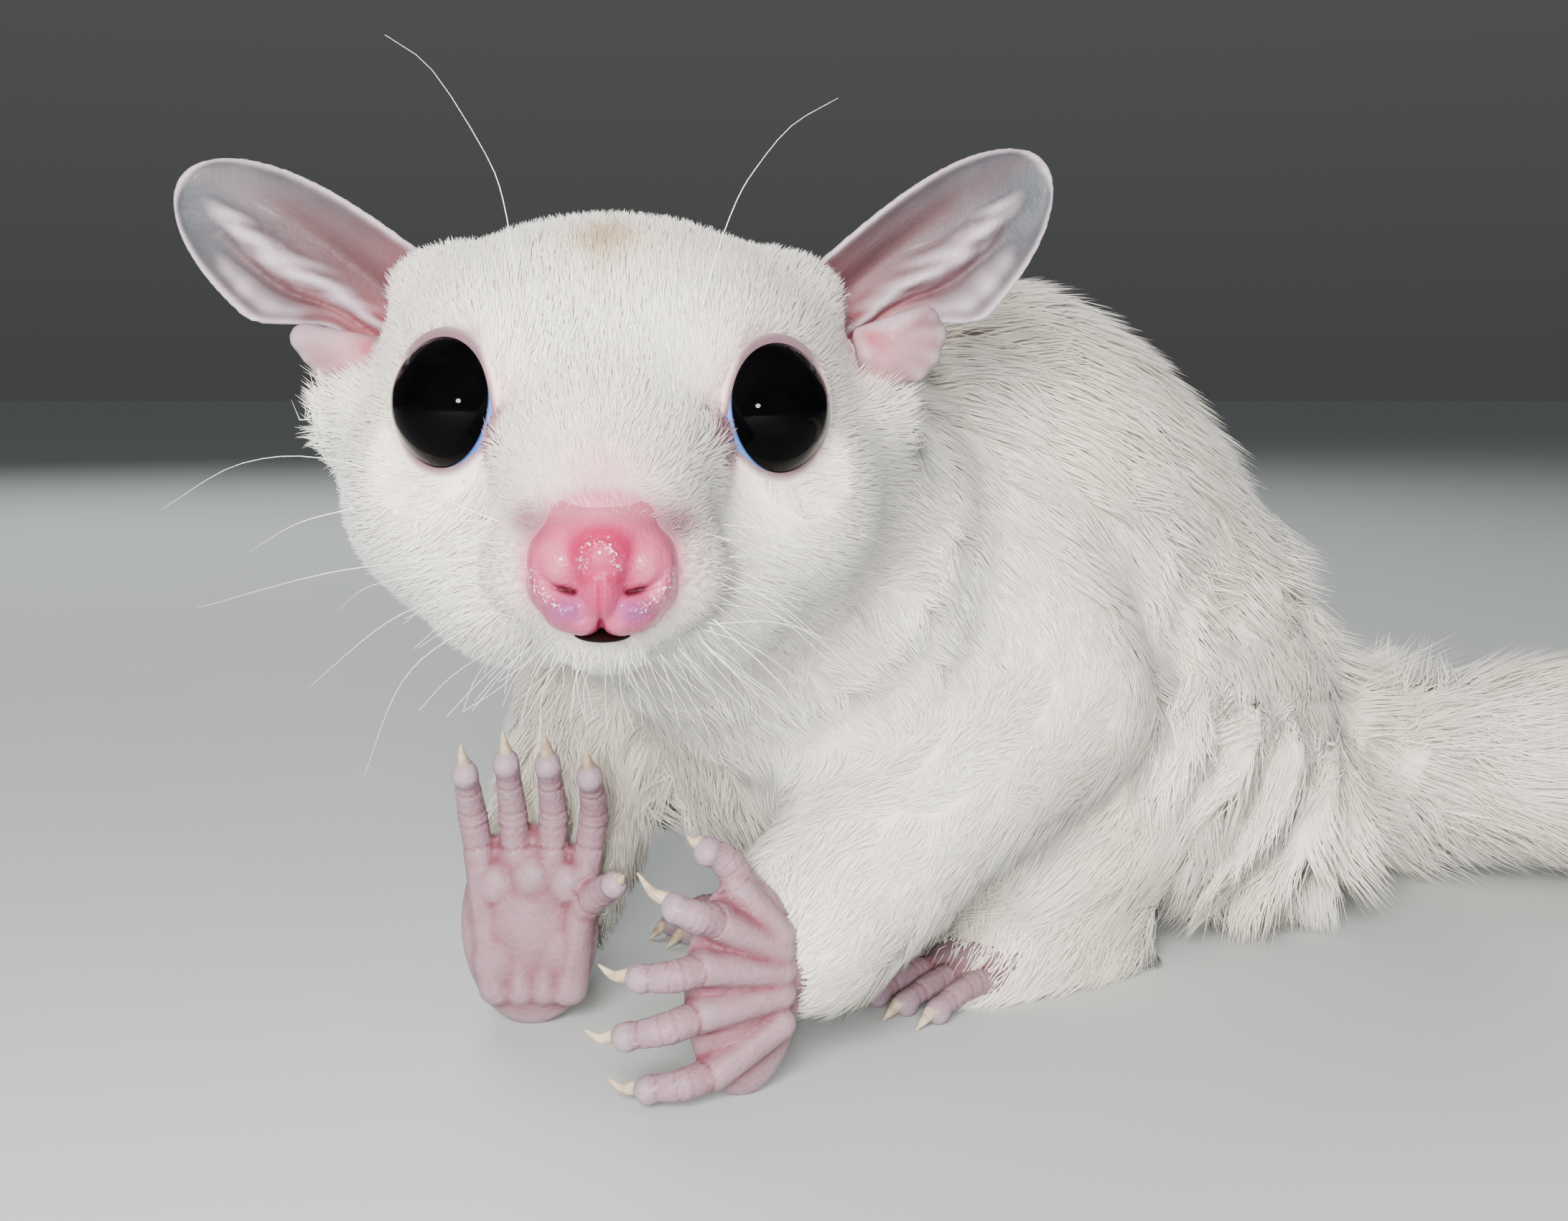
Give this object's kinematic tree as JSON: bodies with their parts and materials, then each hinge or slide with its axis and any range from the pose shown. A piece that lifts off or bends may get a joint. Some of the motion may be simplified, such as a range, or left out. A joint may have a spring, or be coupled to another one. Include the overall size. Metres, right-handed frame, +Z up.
{
  "type": "sugar glider, white, crouching",
  "caption": "Life-size still sugar glider crouching low, head raised and facing front, hands cupped before its chest, bushy tail laid on the floor and curved to the front.",
  "frame": {"origin": "middle of the base of the whole model's box, on the floor that it rests on", "axes": "+X to the side that the tail is laid on, which is the animal's left; +Y from the muzzle towards the back of the head; +Z up from the floor"},
  "size_m": [0.192, 0.1162, 0.063],
  "materials": {
    "coat": "soft white to cream fur",
    "bare_skin": "bare pink skin of the nose, ears, hands and feet",
    "eye": "wet glossy black",
    "claw": "cream to brown horn"
  },
  "bodies": {
    "root": {"head": "coat", "jaw": "coat", "neck": "coat", "chest": "coat", "rump": "coat", "upper_arm_left": "coat", "upper_arm_right": "coat", "forearm_left": "coat", "forearm_right": "coat", "leg_left": "coat", "leg_right": "coat", "patagium_left": "coat", "patagium_right": "coat", "tail_1": "coat", "tail_2": "coat", "tail_3": "coat", "tail_4": "coat", "ear_left": "bare_skin", "ear_right": "bare_skin", "nose": "bare_skin", "hand_left": "bare_skin", "hand_right": "bare_skin", "foot_left": "bare_skin", "foot_right": "bare_skin", "eye_left": "eye", "eye_right": "eye"}
  },
  "joints": []
}
